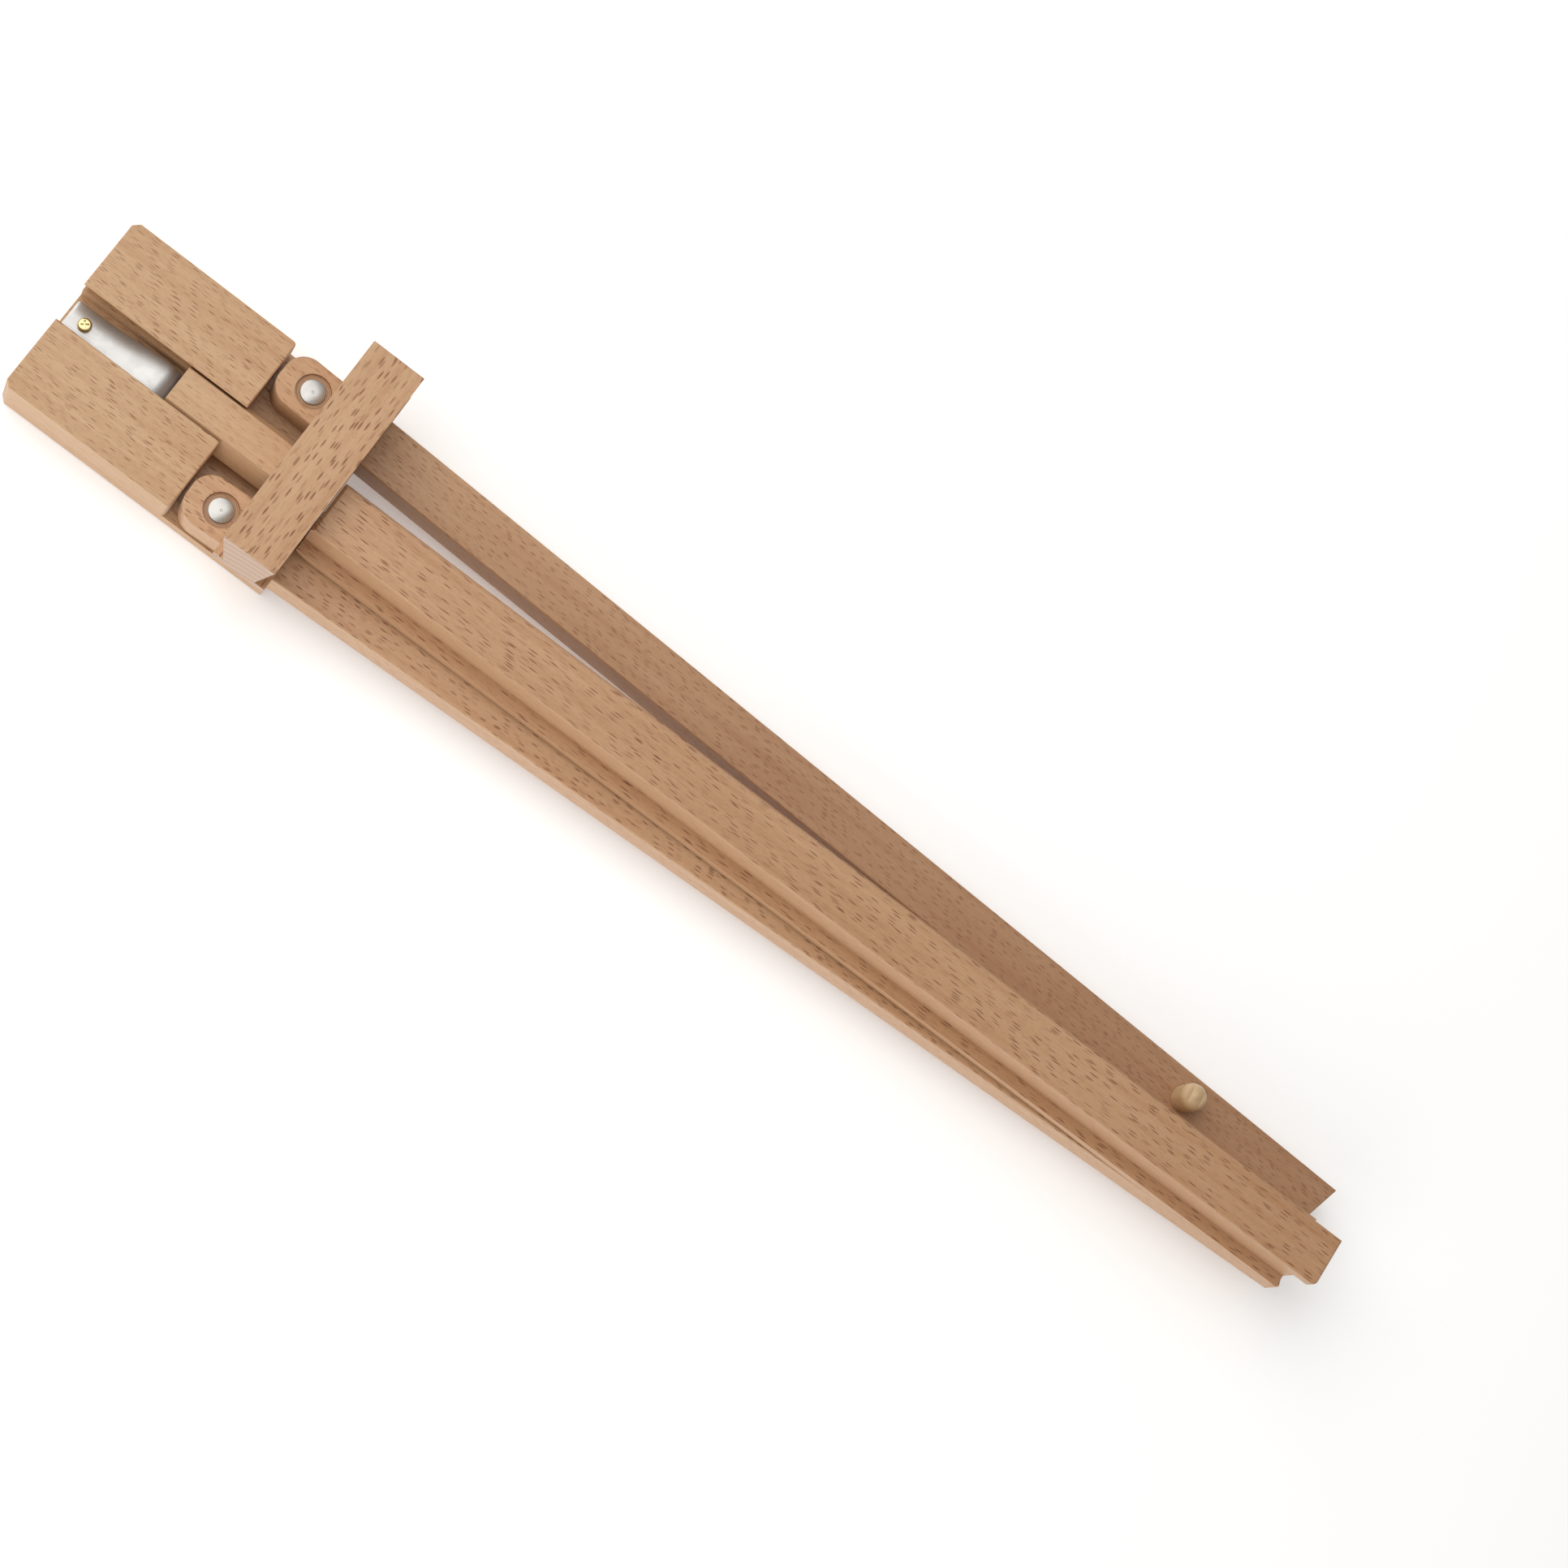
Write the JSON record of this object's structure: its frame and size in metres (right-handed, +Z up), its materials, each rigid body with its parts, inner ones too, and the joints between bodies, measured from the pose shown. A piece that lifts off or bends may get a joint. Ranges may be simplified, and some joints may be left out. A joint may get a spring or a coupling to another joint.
{
  "type": "folding stand",
  "caption": "Folded three-legged wooden stand: a head board with pinned splaying legs, a sliding grooved crossbar held by a leaf spring, and a hinged rear prop leg.",
  "frame": {"origin": "on the underside of the head board, midway between the two leg pins", "axes": "+X runs from the head toward the feet, +Y is across, toward the right leg, +Z is up out of the folded stand, toward the crossbar and the prop leg"},
  "size_m": [0.4376, 0.0689, 0.0379],
  "materials": {
    "beech": "sanded, thinly lacquered beech",
    "birch": "plain birch dowel",
    "pin_steel": "turned bright steel",
    "spring_steel": "satin spring steel",
    "zinc_steel": "zinc-plated steel",
    "brass": "plain brass"
  },
  "bodies": {
    "head": {"base_board": "beech", "jaw_left": "beech", "jaw_right": "beech", "jaw_screws": "zinc_steel", "leaf_spring": "spring_steel", "spring_screw": "brass", "hinge_pin_left": "pin_steel", "hinge_pin_right": "pin_steel", "thrust_washer_left": "zinc_steel", "thrust_washer_right": "zinc_steel", "prop_bracket": "zinc_steel", "bracket_screws": "zinc_steel"},
    "slider": {"slider_tongue": "beech", "crossbar": "beech", "crossbar_screws": "zinc_steel"},
    "left_leg": {"leg_left": "beech"},
    "right_leg": {"leg_right": "beech", "stop_peg": "birch"},
    "prop": {"prop_leg": "beech", "pivot_pin": "zinc_steel"}
  },
  "joints": [
    {"name": "slider_travel", "type": "slide", "parent": "head", "child": "slider", "axis": [-1, 0, 0], "range_m": [0, 0.028]},
    {"name": "leg_left_splay", "type": "hinge", "parent": "head", "child": "left_leg", "pos_m": [0, -0.0213, 0.0101], "axis": [0, 0, -1], "range_deg": [0, 16.9]},
    {"name": "leg_right_splay", "type": "hinge", "parent": "head", "child": "right_leg", "pos_m": [0, 0.0213, 0.0101], "axis": [0, 0, 1], "range_deg": [0, 16.9]},
    {"name": "prop_swing", "type": "hinge", "parent": "head", "child": "prop", "pos_m": [0.0282, -0.0069, 0.0244], "axis": [0, -1, 0], "range_deg": [0, 25]}
  ]
}
